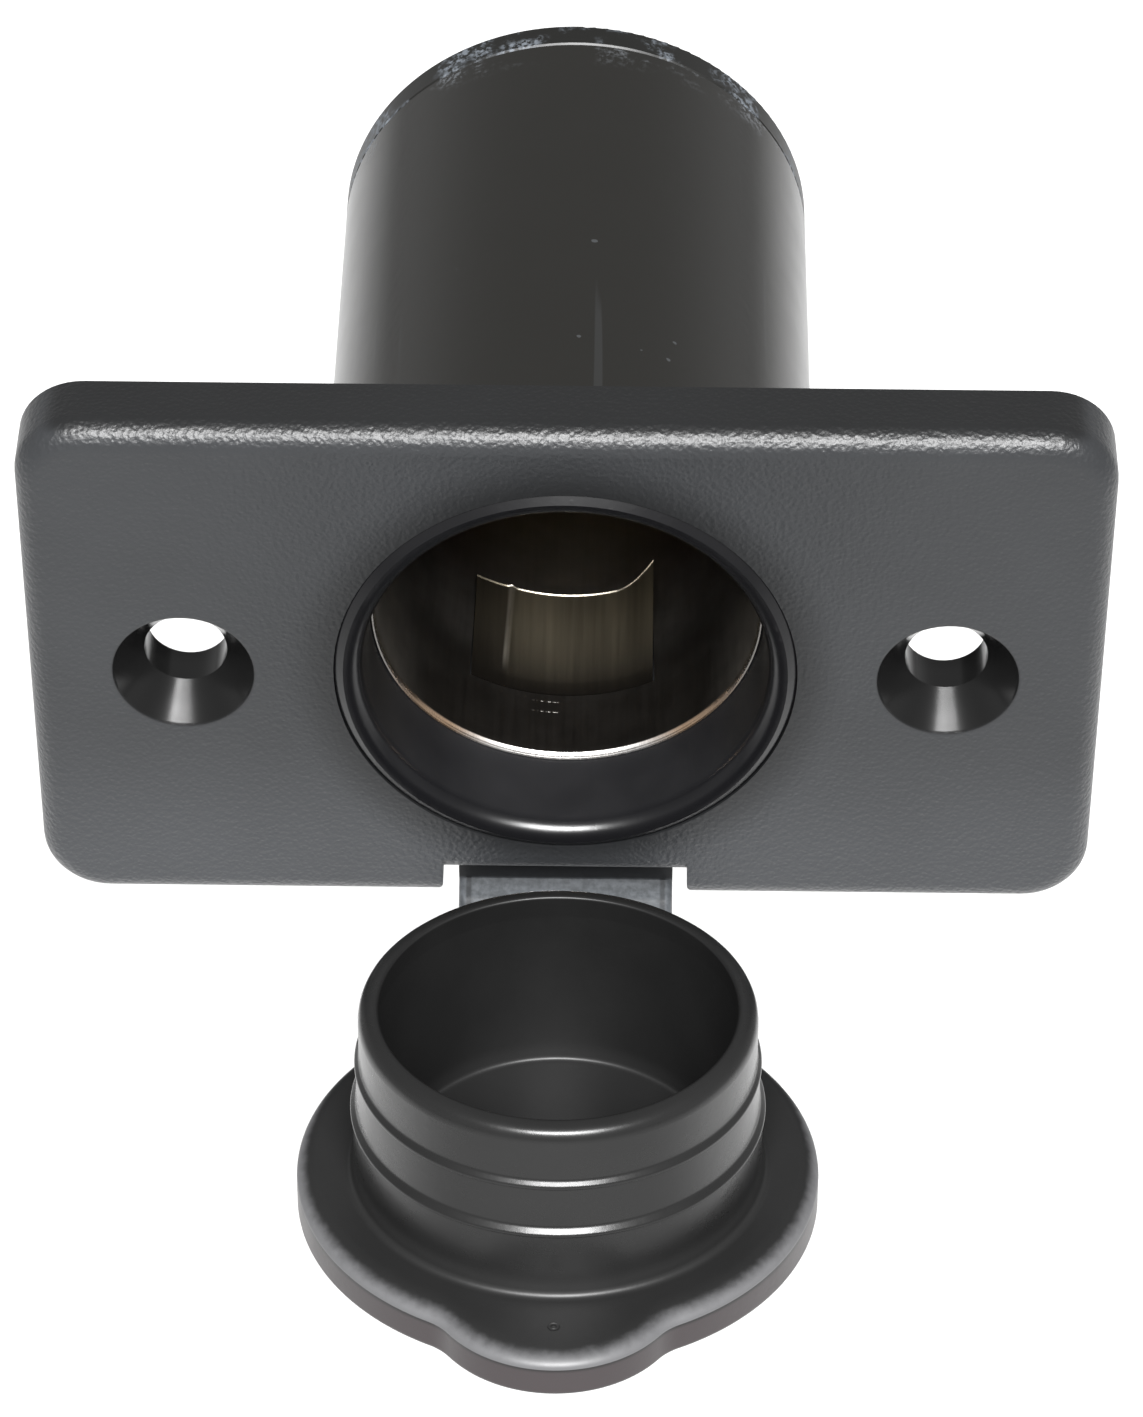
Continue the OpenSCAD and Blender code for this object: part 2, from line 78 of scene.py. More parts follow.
lens = bpy.data.cameras.new("camera")
lens.sensor_fit = "VERTICAL"
lens.sensor_height = 36.0
lens.lens = 139.64
lens.clip_start = 0.01
lens.clip_end = 20.0
camera = bpy.data.objects.new("camera", lens)
bpy.context.scene.collection.objects.link(camera)
spot = TARGET + back * DISTANCE
pose = np.eye(4)
pose[:3, 0], pose[:3, 1], pose[:3, 2], pose[:3, 3] = right, up, back, spot
camera.matrix_world = Matrix(pose.tolist())
bpy.context.scene.camera = camera
bpy.context.scene.view_settings.view_transform = "Standard"
print("camera at", np.round(spot, 4))

# %% [markdown]
# ## Light and floor
#
# Black plastic shows little but reflections, so the light is most of the picture. A wide soft lamp
# hangs in front, above the camera: where a rounded edge faces halfway between lamp and camera it
# draws a bright line. The pale floor is lit by the same lamp, and gives every side that turns
# away from the viewer its pale rim. The room has pale walls and a darker ceiling, which keeps
# surfaces that face upwards deep black.

# %% Make the light and the floor
WALL_GLOW, CEILING_GLOW = 0.50, 0.28
world = bpy.data.worlds.new("studio")
bpy.context.scene.world = world
world.use_nodes = True
sky = world.node_tree
looking = sky.nodes.new("ShaderNodeTexCoord")
split = sky.nodes.new("ShaderNodeSeparateXYZ")
glow = sky.nodes.new("ShaderNodeMapRange")
glow.interpolation_type = "SMOOTHSTEP"
for name, value in (("From Min", 0.10), ("From Max", 0.55),
                    ("To Min", WALL_GLOW), ("To Max", CEILING_GLOW)):
    glow.inputs[name].default_value = value
sky.links.new(looking.outputs["Generated"], split.inputs[0])
sky.links.new(split.outputs["Z"], glow.inputs["Value"])
sky.nodes["Background"].inputs["Color"].default_value = (1.0, 1.0, 1.0, 1.0)
sky.links.new(glow.outputs["Result"], sky.nodes["Background"].inputs["Strength"])


def soft_lamp(name, place, aim, size, power):
    """A rectangular lamp at place that faces aim; size is its width and height in metres."""
    light = bpy.data.lights.new(name, "AREA")
    light.shape = "RECTANGLE"
    light.size, light.size_y = size
    light.energy = power
    lamp = bpy.data.objects.new(name, light)
    bpy.context.scene.collection.objects.link(lamp)
    away = np.array(place) - np.array(aim)
    away /= np.linalg.norm(away)
    side = np.cross([0.0, 0.0, 1.0], away)
    side /= np.linalg.norm(side)
    frame_of_lamp = np.eye(4)
    frame_of_lamp[:3, 0], frame_of_lamp[:3, 1] = side, np.cross(away, side)
    frame_of_lamp[:3, 2], frame_of_lamp[:3, 3] = away, place
    lamp.matrix_world = Matrix(frame_of_lamp.tolist())
    return lamp


LAMP_PLACE, LAMP_SIZE, LAMP_WATTS = (0.04, -0.60, 0.72), (0.46, 0.34), 33.0
FLOOR_HALF, FLOOR_Z = 3.0, -180.0 * MM

soft_lamp("key lamp", LAMP_PLACE, (0.0, 0.0, 0.0), LAMP_SIZE, LAMP_WATTS)

floor_mesh = bpy.data.meshes.new("floor")
floor_mesh.from_pydata(
    [(-FLOOR_HALF, -FLOOR_HALF, FLOOR_Z), (FLOOR_HALF, -FLOOR_HALF, FLOOR_Z),
     (FLOOR_HALF, FLOOR_HALF, FLOOR_Z), (-FLOOR_HALF, FLOOR_HALF, FLOOR_Z)],
    [], [(0, 1, 2, 3)])
floor = bpy.data.objects.new("floor", floor_mesh)
bpy.context.scene.collection.objects.link(floor)

# %% [markdown]
# ## Shader maths in plain expressions
#
# A finish is a graph of nodes. Written node by node, a simple mask takes a dozen lines. The small
# class `Wire` lets the same graph be written as an expression: it holds one output socket and
# turns +, -, * and / into Math nodes. Its `rise` and `fall` are the soft steps most masks are
# made of.

# %% Wire, the output of a node
def join(tree, socket, value):
    """Sets an input socket: a Wire is linked, anything else becomes its constant."""
    if isinstance(value, Wire):
        tree.links.new(value.output, socket)
    else:
        socket.default_value = value


class Wire:
    """The value of one output socket, with arithmetic that adds Math nodes."""

    def __init__(self, tree, output):
        self.tree = tree
        self.output = output

    def math(self, operation, *values):
        node = self.tree.nodes.new("ShaderNodeMath")
        node.operation = operation
        for socket, value in zip(node.inputs, values):
            join(self.tree, socket, value)
        return Wire(self.tree, node.outputs[0])

    def __add__(self, other):
        return self.math("ADD", self, other)

    __radd__ = __add__

    def __sub__(self, other):
        return self.math("SUBTRACT", self, other)

    def __rsub__(self, other):
        return self.math("SUBTRACT", other, self)

    def __mul__(self, other):
        return self.math("MULTIPLY", self, other)

    __rmul__ = __mul__

    def __truediv__(self, other):
        return self.math("DIVIDE", self, other)

    def size(self):
        return self.math("ABSOLUTE", self)

    def root(self):
        return self.math("SQRT", self)

    def least(self, other):
        return self.math("MINIMUM", self, other)

    def rise(self, low, high):
        """0 below low, 1 above high, and an S-shaped ramp between them."""
        node = self.tree.nodes.new("ShaderNodeMapRange")
        node.interpolation_type = "SMOOTHSTEP"
        for name, value in (("Value", self), ("From Min", low), ("From Max", high)):
            join(self.tree, node.inputs[name], value)
        return Wire(self.tree, node.outputs["Result"])

    def fall(self, low, high):
        """1 below low, 0 above high."""
        return 1.0 - self.rise(low, high)


print("a Wire can:", ", ".join(n for n in vars(Wire) if not n.startswith("_")))

# %% [markdown]
# `Finish` holds a material. It adds any other node from its type, its settings and its inputs,
# and knows each place on the piece in millimetres. Patterns such as noise are asked for by how
# many of their features fit into a millimetre. The floor gets the first finish.

# %% Finish, a material
class Finish:
    """A material with one Principled surface, built up from nodes."""

    def __init__(self, name, **constants):
        self.material = bpy.data.materials.new(name)
        self.material.use_nodes = True
        self.tree = self.material.node_tree
        self.surface = self.tree.nodes["Principled BSDF"]
        self.set(**constants)
        where = self.node("ShaderNodeTexCoord", output="Object")
        self.where = where
        parts = self.tree.nodes.new("ShaderNodeSeparateXYZ")
        join(self.tree, parts.inputs[0], where)
        # Places in millimetres, like the sizes in the CAD model
        self.x, self.y, self.z = (Wire(self.tree, parts.outputs[i]) * 1000.0 for i in range(3))

    def set(self, **values):
        """Sets inputs of the surface; an underscore in a name stands for a space."""
        for name, value in values.items():
            join(self.tree, self.surface.inputs[name.replace("_", " ")], value)
        return self

    def node(self, kind, settings=None, inputs=None, output=0):
        """Any node: its settings first, then its inputs; returns one output."""
        node = self.tree.nodes.new(kind)
        for name, value in (settings or {}).items():
            setattr(node, name, value)
        for name, value in (inputs or {}).items():
            join(self.tree, node.inputs[name], value)
        return Wire(self.tree, node.outputs[output])

    def stretched(self, sx, sy, sz):
        """Object coordinates, scaled along each axis, for streaks and drawn lines."""
        scale = (sx, sy, sz)
        return self.node("ShaderNodeMapping", inputs={"Vector": self.where, "Scale": scale})

    def noise(self, per_mm, detail=2.0, rough=0.5, at=None):
        """Soft noise around 0.5; per_mm is how many features fit into a millimetre."""
        return self.node("ShaderNodeTexNoise", inputs={
            "Vector": at or self.where, "Scale": per_mm * 1000.0,
            "Detail": detail, "Roughness": rough}, output="Fac")

    def pebbles(self, per_mm, smooth=0.6):
        """Rounded cells, as a spark-eroded mould leaves them: distance from the cell's centre."""
        return self.node("ShaderNodeTexVoronoi", {"feature": "SMOOTH_F1"}, {
            "Vector": self.where, "Scale": per_mm * 1000.0,
            "Smoothness": smooth}, output="Distance")

    def blend(self, amount, first, second):
        """A colour between first (amount 0) and second (amount 1)."""
        node = self.tree.nodes.new("ShaderNodeMix")
        node.data_type = "RGBA"
        join(self.tree, node.inputs["Factor"], amount)
        for socket, value in ((node.inputs[6], first), (node.inputs[7], second)):
            join(self.tree, socket, (*value, 1.0) if isinstance(value, tuple) else value)
        return Wire(self.tree, node.outputs[2])

    def relief(self, height, depth_mm, strength=1.0):
        """Bump from a height of 0 to 1 that stands for depth_mm."""
        normal = self.node("ShaderNodeBump", inputs={
            "Height": height, "Distance": depth_mm * MM, "Strength": strength}, output="Normal")
        return self.set(Normal=normal)


def dress(finish, *names):
    """Gives CAD nodes this finish in every slot they have."""
    for name in names:
        mesh = nodes[name].data
        mesh.materials.clear()
        mesh.materials.append(finish.material)
    print(finish.material.name, "with", len(finish.tree.nodes), "nodes on", ", ".join(names))


pale = Finish("pale floor", Roughness=0.8)
# The floor pales from the front to the back, so that what faces down and forwards stays dark
backwards = pale.y.rise(-200.0, 20.0)
pale.set(Base_Color=pale.blend((backwards + 0.1 * pale.noise(0.004, 3.0)).least(1.0),
                               (0.38, 0.38, 0.379), (0.84, 0.84, 0.838)))
floor_mesh.materials.append(pale.material)
print("floor finish:", len(pale.tree.nodes), "nodes")

# %% [markdown]
# ## The face plate's grained plastic
#
# The mould of such a plate is spark-eroded, which leaves a fine pebbled grain that hides scratches.
# The grain breaks the lamp's reflection into sparkles along the rounded edge. The countersinks
# are cut by a smooth tool, so the grain fades out inside them. Round the lip and down to the
# notch the plate is handled and rubbed, and looks smoother; its colour there is darkened as painted
# shade. The upper side is painted darker and the lower part lighter, as painted shade and painted
# light.

# %% Finish of the face plate
SCREW_X, SINK_R = 21.55, 4.15

plate = Finish("grained plate plastic", IOR=1.38)
from_axis = (plate.x * plate.x + plate.z * plate.z).root()
beside = plate.x.size() - SCREW_X
from_screw = (beside * beside + plate.z * plate.z).root()
in_sink = from_screw.fall(3.9, SINK_R)
# Round the lip: smoother, and its colour darkened as painted shade
rubbed_with_painted_shade = from_axis.fall(12.6, 16.2)
grain = plate.pebbles(3.4) * 0.65 + plate.noise(5.5, 3.0, 0.6) * 0.6
calm = (1.0 - in_sink) * (1.0 - rubbed_with_painted_shade * 0.5)
cloud = plate.noise(0.09, 3.0)
# Lighter towards the bottom: painted light; the grain is also raised more there
lower = plate.z.fall(-15.0, -3.0)
# The upper side is painted darker: painted shade
top_painted_shade = plate.z.rise(16.4, 17.0)
# The plate's tone: random cloud and the countersinks, with painted shade round the lip and on the
# upper side
tone_with_painted_shade = (1.0 - in_sink) * (1.0 - rubbed_with_painted_shade * 0.75) * (1.0 - 0.75 * top_painted_shade)
plate.set(
    Base_Color=plate.blend(tone_with_painted_shade * (0.35 + 0.3 * cloud + 0.35 * lower),
                           (0.005, 0.005, 0.005), (0.034, 0.036, 0.039)),
    Roughness=0.17 + 0.16 * calm + 0.06 * cloud)
plate.relief(grain * calm * (0.75 + 0.6 * lower), 0.070)
dress(plate, "face_plate")

# %% [markdown]
# ## Smooth black mouldings
#
# The liner, the barrel and its end cap come from polished moulds. They are satin black, with
# faint flow marks and hairline scratches that show only in the reflections. The barrel has been
# pushed through a panel: pale scuffs sit on its rear edge, where it rubbed.

# %% Finishes of the liner, barrel and end cap
def hairlines(finish, per_mm, along, density=0.62):
    """Thin scratches: noise stretched along one axis, cut to its highest crests."""
    scale = [per_mm, per_mm, per_mm]
    scale[along] *= 0.03
    crest = finish.noise(1.0, 2.0, 0.4, finish.stretched(*scale))
    return crest.rise(density, density + 0.05)


liner = Finish("satin liner plastic", IOR=1.40)
behind_sleeve = liner.y.rise(1.5, 3.0)
# The lip's front face is painted darker than the bore behind it: painted shade
lip_face_painted_shade = liner.blend(liner.y.fall(-4.2, -3.4), (0.017, 0.017, 0.018), (0.004, 0.004, 0.0045))
liner.set(
    Base_Color=liner.blend(liner.noise(0.15, 3.0) * (1.0 - behind_sleeve),
                           (0.003, 0.003, 0.0035), lip_face_painted_shade),
    Roughness=0.21 + 0.08 * liner.noise(0.4, 4.0) + 0.6 * behind_sleeve)
liner.relief(liner.noise(2.0, 4.0) * 0.6 + hairlines(liner, 1.6, 1) * 0.4, 0.004)
dress(liner, "socket_liner")

barrel = Finish("satin barrel plastic", IOR=1.42)
rear = barrel.y.rise(35.2, 37.6)
patches = barrel.noise(0.22, 4.0, 0.6).rise(0.50, 0.62)
scuff = rear * patches * barrel.noise(3.0, 3.0, 0.7).rise(0.44, 0.62)
specks = barrel.noise(1.1, 1.0).rise(0.79, 0.81)
scratches = hairlines(barrel, 0.9, 1, 0.70)
barrel.set(
    Base_Color=barrel.blend((scuff * 0.42 + specks * 0.12 + scratches * 0.03).least(0.8),
                            (0.0088, 0.0085, 0.0076), (0.20, 0.215, 0.235)),
    Roughness=(0.18 + 0.10 * barrel.noise(0.3, 4.0) + 0.18 * scuff).least(0.8))
barrel.relief(barrel.noise(1.4, 5.0, 0.6) * 0.7 + scratches * 0.1 + scuff * 0.2, 0.008)
dress(barrel, "rear_barrel")

cover = Finish("end cap plastic", IOR=1.42)
edge = (cover.x * cover.x + cover.z * cover.z).root().rise(13.3, 14.2)
worn = edge * cover.noise(0.25, 4.0, 0.6).rise(0.48, 0.60)
worn = worn * cover.noise(2.6, 3.0, 0.7).rise(0.42, 0.62)
cover.set(
    Base_Color=cover.blend((worn * 0.4).least(0.8), (0.005, 0.005, 0.0045), (0.25, 0.28, 0.32)),
    Roughness=(0.32 + 0.12 * cover.noise(0.5, 4.0) + 0.15 * worn).least(0.8))
cover.relief(cover.noise(1.2, 5.0, 0.6) * 0.8 + worn * 0.3, 0.010)
dress(cover, "end_cap")

# %% [markdown]
# ## Metal in the bore
#
# The sleeve is drawn from thin sheet and nickel plated. Drawing leaves fine lines along the
# axis, and the plating has a warm cast and has gone dull, and is painted darker deeper in the bore
# as painted shade. The rim, which every plug rubs smoother, is painted bright at the bottom of the
# bore as a painted highlight where it faces the lamp, and painted warm beside it.

# %% Finish of the sleeve
sleeve = Finish("nickel sleeve", Metallic=1.0)
drawn = sleeve.noise(1.0, 3.0, 0.6, sleeve.stretched(4.0, 0.12, 4.0))
stain = sleeve.noise(0.35, 4.0, 0.6)
# Darker deeper in the bore: painted shade
painted_depth_shade = 1.0 - 0.45 * sleeve.y.rise(13.0, 19.0)
# The coined rim is painted bright at the bottom of the bore, a painted highlight where it faces the
# lamp, and painted warm beside it
rim = sleeve.y.fall(1.25, 1.5)
at_bottom = sleeve.z.fall(-9.6, -3.6)
rim_painted_highlight = sleeve.blend(sleeve.z.fall(-10.4, -8.6), (0.66, 0.46, 0.31), (0.96, 0.93, 0.90))
# Two short bright dashes in front of the leaf: painted glints, with a slight bump
painted_glint_dashes = (sleeve.x + 1.3).size().fall(0.70, 0.90) * sleeve.z.fall(-10.0, -9.0)
painted_glint_dashes = painted_glint_dashes * drawn.rise(0.35, 0.6) * (
    (sleeve.y - 5.85).size().fall(0.02, 0.09) + (sleeve.y - 4.95).size().fall(0.02, 0.09))
# Between rim and leaf, low in the bore, the wall is darker
before_leaf = sleeve.y.fall(7.5, 11.0) * sleeve.z.fall(-8.0, -4.0)
wall_tone = sleeve.blend((0.7 * stain + 0.3 * drawn) * painted_depth_shade,
                         (0.13, 0.125, 0.12), (0.42, 0.40, 0.375))
sleeve.set(
    Base_Color=sleeve.blend((rim * at_bottom + painted_glint_dashes * 0.25).least(1.0),
                            sleeve.blend(before_leaf * 0.75, wall_tone, (0.05, 0.043, 0.036)),
                            rim_painted_highlight),
    Roughness=0.28 + 0.08 * drawn + 0.10 * stain - 0.10 * rim)
sleeve.relief(sleeve.y.rise(0.95, 1.5) * at_bottom + painted_glint_dashes * 0.1 + drawn * 0.006, 0.32)
dress(sleeve, "contact_sleeve")

# %% [markdown]
# The contact leaf is spring bronze, dull and brown. Broad bands and fine lines run along it. Its
# tip is rubbed smoother by plugs and painted bright as a painted highlight, as is its crease;
# towards its root it is darker, as dark as the wall.

# %% Finish of the contact leaf
leaf_metal = Finish("spring bronze", Metallic=1.0)
bands = leaf_metal.noise(1.0, 2.0, 0.5, leaf_metal.stretched(0.55, 0.02, 0.02))
fine_lines = leaf_metal.noise(1.0, 3.0, 0.6, leaf_metal.stretched(4.0, 0.12, 0.12))
# The crease runs along x = -3.5 and gets a painted highlight; the strip to its left faces away from
# the light and is painted darker, as painted shade
from_crease = (leaf_metal.x + 3.45 + (14.5 - leaf_metal.y) * 0.045).size()
crease_painted_highlight = from_crease.fall(0.10, 0.24) * leaf_metal.y.rise(7.6, 9.5)
painted_shade_left_strip = leaf_metal.x.fall(-3.8, -3.5)
near_root = leaf_metal.y.fall(6.2, 12.5)
tip_rubbed_and_painted_highlight = leaf_metal.y.rise(14.30, 14.42) * (1.0 - painted_shade_left_strip)
streaks = 0.45 + 0.8 * (bands - 0.35) + 0.25 * (fine_lines - 0.5)
body_tone = leaf_metal.blend(streaks * (1.0 - 0.7 * painted_shade_left_strip) * (1.0 - near_root),
                             (0.06, 0.053, 0.045), (0.72, 0.63, 0.45))
leaf_metal.set(
    Base_Color=leaf_metal.blend((crease_painted_highlight * 0.5 + tip_rubbed_and_painted_highlight * 0.8).least(1.0),
                                body_tone, (0.95, 0.88, 0.74)),
    Roughness=0.36 + 0.06 * fine_lines - 0.12 * tip_rubbed_and_painted_highlight)
leaf_metal.relief(leaf_metal.y.rise(14.30, 14.55), 0.12)
dress(leaf_metal, "side_spring")

# %% [markdown]
# The blades are stamped from brass sheet. One is tinned, so that the two can be told apart, and
# so are the rivets. Rolling leaves fine lines along the sheet.

# %% Finishes of the stamped pieces
def sheet_metal(name, dark, light, roughness, along, wear=0.5):
    """Rolled or drawn sheet: tone and gloss vary in fine lines along one axis."""
    finish = Finish(name, Metallic=1.0)
    scale = [4.0, 4.0, 4.0]
    scale[along] = 0.12
    lines = finish.noise(1.0, 3.0, 0.6, finish.stretched(*scale))
    stains = finish.noise(0.35, 4.0, 0.6)
    finish.set(
        Base_Color=finish.blend((stains * wear + lines * (1.0 - wear)).rise(0.3, 0.7), dark, light),
        Roughness=roughness + 0.12 * lines + 0.10 * stains)
    finish.relief(lines * 0.6 + stains * 0.4, 0.006)
    return finish


brass = sheet_metal("stamped brass", (0.50, 0.36, 0.14), (0.74, 0.58, 0.28), 0.24, 0)
dress(brass, "positive_terminal", "centre_contact")
tin = sheet_metal("tinned sheet", (0.42, 0.42, 0.41), (0.66, 0.66, 0.65), 0.28, 0)
dress(tin, "negative_terminal", "centre_rivet", "negative_rivet")

# %% [markdown]
# ## Pressed board
#
# The washers that keep the centre contact apart from the sleeve are pressed from paper and resin.
# Their brown is mottled with short fibres.

# %% Finish of the insulating washers
board = Finish("pressed board", Roughness=0.62)
fibres = board.noise(3.0, 5.0, 0.7, board.stretched(1.0, 1.0, 0.25))
board.set(Base_Color=board.blend(fibres.rise(0.35, 0.65),
                                 (0.075, 0.034, 0.014), (0.19, 0.10, 0.045)))
board.relief(fibres, 0.02)
dress(board, "inner_insulator", "outer_insulator")

# %% [markdown]
# ## From grids of points to pieces
#
# Each new piece is a grid of points that follow a formula. One direction of the grid runs round or
# across the piece, the other along it. Cells become four-sided faces, and a pole, where a whole
# row shrinks to one point, is closed with a fan of triangles. The sign of the enclosed volume
# tells whether the faces look outwards.

# %% Grids become meshes
def grid_mesh(name, points, poles=(None, None), capped=False):
    """A closed mesh from points[i, j], closed round in j: i runs along the piece. Each end of the
    tube is closed by a pole (one more point) or, where capped, by one flat face."""
    rows, columns = points.shape[:2]
    i, j = np.meshgrid(np.arange(rows - 1), np.arange(columns), indexing="ij")
    k = (j + 1) % columns
    below, above = i * columns, (i + 1) * columns
    cells = np.stack([below + j, below + k, above + k, above + j], -1)
    faces = cells.reshape(-1, 4).tolist()
    vertices = points.reshape(-1, 3)
    here = np.arange(columns)
    ahead = (here + 1) % columns
    for pole, first, turn in ((poles[0], 0, 1), (poles[1], (rows - 1) * columns, -1)):
        if pole is not None:
            tip = np.full(columns, len(vertices))
            vertices = np.concatenate([vertices, [pole]])
            faces += np.stack([tip, first + ahead, first + here][::turn], -1).tolist()
        elif capped:
            faces.append((first + here[::-turn]).tolist())
    mesh = bpy.data.meshes.new(name)
    mesh.from_pydata(vertices.tolist(), [], faces)
    mesh.polygons.foreach_set("use_smooth", np.ones(len(faces), bool))
    if volume(mesh) < 0.0:
        mesh.flip_normals()
    mesh.update()
    return mesh


def volume(mesh):
    """Volume inside a closed mesh: the sum of the tetrahedra from the origin to each triangle."""
    mesh.calc_loop_triangles()
    corners = np.empty(len(mesh.loop_triangles) * 3, int)
    mesh.loop_triangles.foreach_get("vertices", corners)
    places = np.empty(len(mesh.vertices) * 3)
    mesh.vertices.foreach_get("co", places)
    a, b, c = places.reshape(-1, 3)[corners.reshape(-1, 3)].transpose(1, 0, 2)
    return float(np.einsum("ij,ij->", a, np.cross(b, c))) / 6.0


def place(name, mesh, finish, body, slot):
    """Puts a finished mesh into the scene on its body; its place is in its points."""
    mesh.materials.append(finish.material)
    piece = bpy.data.objects.new(name, mesh)
    bpy.context.scene.collection.objects.link(piece)
    if body:
        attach(piece, body)
    print(name, "faces:", len(mesh.polygons), "mm3:", round(volume(mesh) / MM ** 3, 1))
    return piece


LEAD = 0.015  # mm between a curve's end and the point that keeps the flat beside it flat


def softened(corners, radii, steps=6):
    """A profile with each corner replaced by a small curve. The curve leaves and meets the straight
    lines as far from the corner as its radius needs: the radius times the tangent of half the turn.
    A point just before and after it keeps the flats flat in their shading."""
    before, corner, after = corners[:-2], corners[1:-1], corners[2:]
    arriving = (corner - before) / np.linalg.norm(corner - before, axis=1)[:, None]
    leaving = (after - corner) / np.linalg.norm(after - corner, axis=1)[:, None]
    half_turn = np.arccos(np.clip((arriving * leaving).sum(1), -1.0, 1.0)) / 2.0
    reach = (radii * np.tan(half_turn))[:, None]
    start, end = corner - arriving * reach, corner + leaving * reach
    s = np.linspace(0.0, 1.0, steps)[:, None, None]
    curve = (1 - s) ** 2 * start + 2 * s * (1 - s) * corner + s ** 2 * end
    full = np.concatenate([(start - arriving * LEAD)[None], curve, (end + leaving * LEAD)[None]])
    return full.transpose(1, 0, 2).reshape(-1, 2)


# %% [markdown]
# ## The cover cap
#
# The cap is drawn in its closed place first, as radius and height about the plug's own axis, and
# then swung open about the hinge, by the same angle as the CAD model's cap. Its flange is a disc
# with a thumb tab. Seen along the axis the outline is made of three kinds of arc, and in polar
# form each has a plain formula: the disc is a constant radius, the tab is the far side of a small
# circle, and the hollow curve between them is the near side of a circle that touches both.

# %% Outline of the flange
FLANGE_R, TAB_R, TAB_REACH, HOLLOW_R = 14.13, 6.9, 2.05, 3.2
HINGE = np.array([-16.35, -14.75])
HINGE_R, HINGE_H, OPEN_ANGLE = 14.75, -1.25, math.radians(83.66)


def open_cap(x, h, z):
    """Swings places of the closed cap to where it stands open. x runs across, h is the height above
    the flange's inner face, and z runs from the plug's axis towards the thumb tab."""
    along, out = h - HINGE_H, z + HINGE_R
    y = HINGE[0] + along * math.cos(OPEN_ANGLE) - out * math.sin(OPEN_ANGLE)
    up_from = HINGE[1] + along * math.sin(OPEN_ANGLE) + out * math.cos(OPEN_ANGLE)
    return np.stack(np.broadcast_arrays(x, y, up_from), -1) * MM


def flange_outline(angle):
    """Radius of the flange at an angle from the thumb tab's middle."""
    angle = np.abs(angle)
    tab_z = FLANGE_R + TAB_REACH - TAB_R
    a, b = FLANGE_R + HOLLOW_R, TAB_R + HOLLOW_R
    hollow_z = (tab_z ** 2 + a ** 2 - b ** 2) / (2 * tab_z)
    hollow_x = math.sqrt(a ** 2 - hollow_z ** 2)
    hollow_angle = math.atan2(hollow_x, hollow_z)
    # Where tab and hollow touch: on the line between their centres
    touch = np.array([0.0, tab_z]) + np.array([hollow_x, hollow_z - tab_z]) * TAB_R / b
    tab_half = np.sqrt(np.clip(TAB_R ** 2 - (tab_z * np.sin(angle)) ** 2, 0.0, None))
    tab = tab_z * np.cos(angle) + tab_half
    off = angle - hollow_angle
    hollow_half = np.sqrt(np.clip(HOLLOW_R ** 2 - (a * np.sin(off)) ** 2, 0.0, None))
    hollow = a * np.cos(off) - hollow_half
    return np.select([angle < math.atan2(*touch), angle < hollow_angle], [tab, hollow], FLANGE_R)


# %% [markdown]
# The cap's surface is one sheet: from the middle of its outer face, out to the rim, up over the
# crowned edge, in to the plug's foot, up the two stepped tiers with their ridges, over the fully
# rounded mouth, down the drafted inner wall and to the middle of the cup's floor. The crown is an
# elliptic rounding. It is widest at the tab, where a thumb goes, and narrow at the hinge.

# %% Surface of the cap
MOUTH_H, FLOOR_H, FOOT_START_R = 10.65, 0.1, 12.15
# Radius and height of the plug's corners: foot, lower tier and its ridge, upper tier and its
# ridge, mouth, inner wall, floor; then how far each corner between the ends is rounded
PLUG_CORNERS = np.array([
    [12.4, 0.0], [11.25, 0.0],
    [11.03, 0.9], [11.03, 3.88], [11.16, 3.98], [11.16, 4.12], [10.86, 4.46],
    [10.76, 6.88], [10.89, 6.98], [10.89, 7.14], [10.65, 7.44],
    [10.65, MOUTH_H], [9.55, MOUTH_H],
    [9.55, 9.35], [8.70, FLOOR_H], [4.0, FLOOR_H]])
PLUG_RADII = np.array([
    0.45, 2.0, 0.05, 0.05, 0.20, 0.30, 0.05, 0.05, 0.20, 0.30, 0.86, 0.16, 0.8, 0.3])


